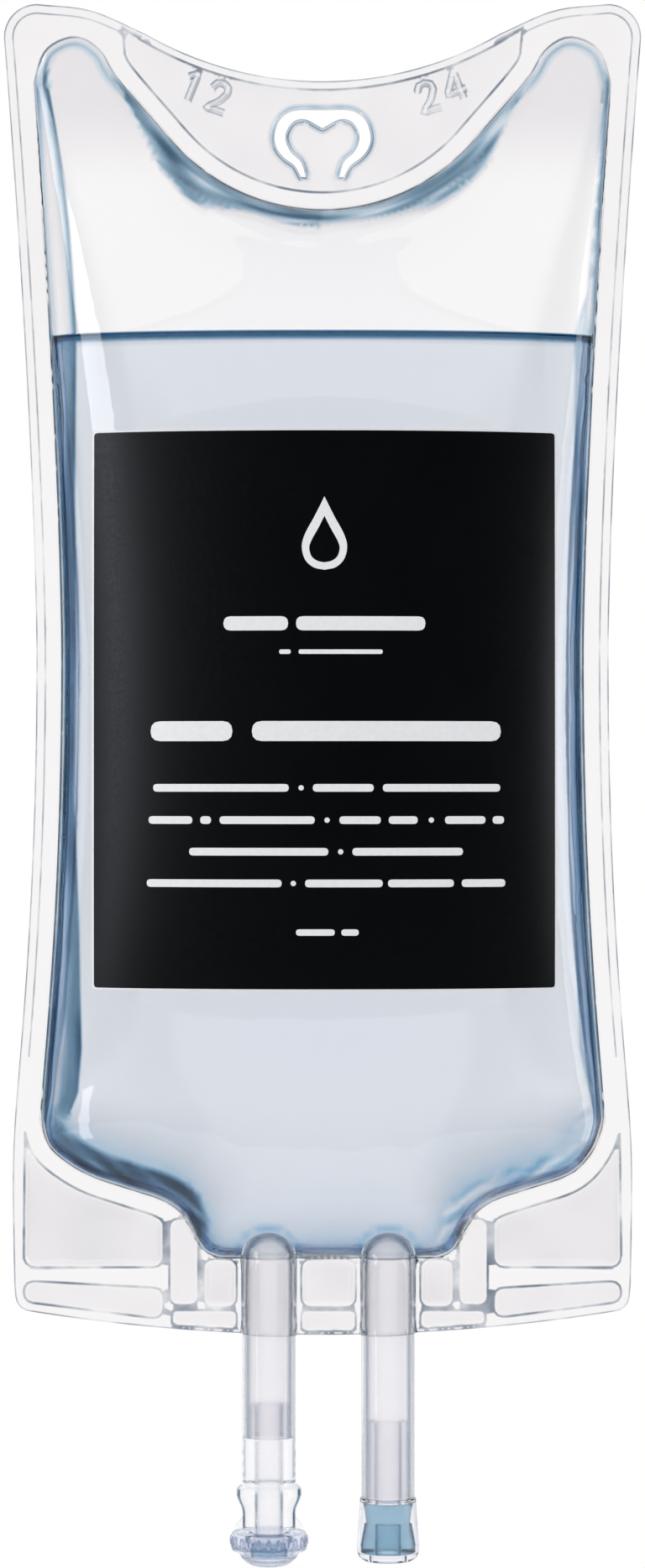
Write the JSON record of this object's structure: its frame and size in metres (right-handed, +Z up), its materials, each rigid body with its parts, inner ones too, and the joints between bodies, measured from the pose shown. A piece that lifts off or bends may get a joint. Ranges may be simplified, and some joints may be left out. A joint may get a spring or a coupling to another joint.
{
  "type": "iv fluid bag",
  "caption": "Clear flexible infusion bag of two welded films, filled with fluid, with a die-cut hanging slot, a plain black label and port tubes with a pull-off cap and a rubber stopper.",
  "frame": {"origin": "bearing edge of the die-cut hanging slot, midway between the two films", "axes": "+Z up along the bag, +X to the right seen from the label side, +Y to the back; the label faces -Y"},
  "size_m": [0.1006, 0.0316, 0.2468],
  "materials": {
    "clear_film": "clear flexible film, glossy",
    "fluid": "clear watery fluid",
    "label_black": "satin black with a thin white edge",
    "clear_tube": "clear soft tube, slightly cloudy",
    "clear_moulding": "clear hard moulding",
    "blue_rubber": "smooth blue-grey rubber",
    "lilac_cap": "translucent lilac plastic"
  },
  "bodies": {
    "bag": {"front_film": "clear_film", "back_film": "clear_film", "solution": "fluid", "label": "label_black", "spike_tube": "clear_tube", "injection_tube": "clear_tube", "spike_connector": "clear_moulding", "spike_septum": "blue_rubber", "injection_collar": "clear_moulding", "injection_stopper": "blue_rubber"},
    "cap": {"spike_cap": "lilac_cap"}
  },
  "joints": [
    {"name": "cap_pull", "type": "slide", "parent": "bag", "child": "cap", "axis": [0, 0, -1], "range_m": [0, 0.012]}
  ]
}
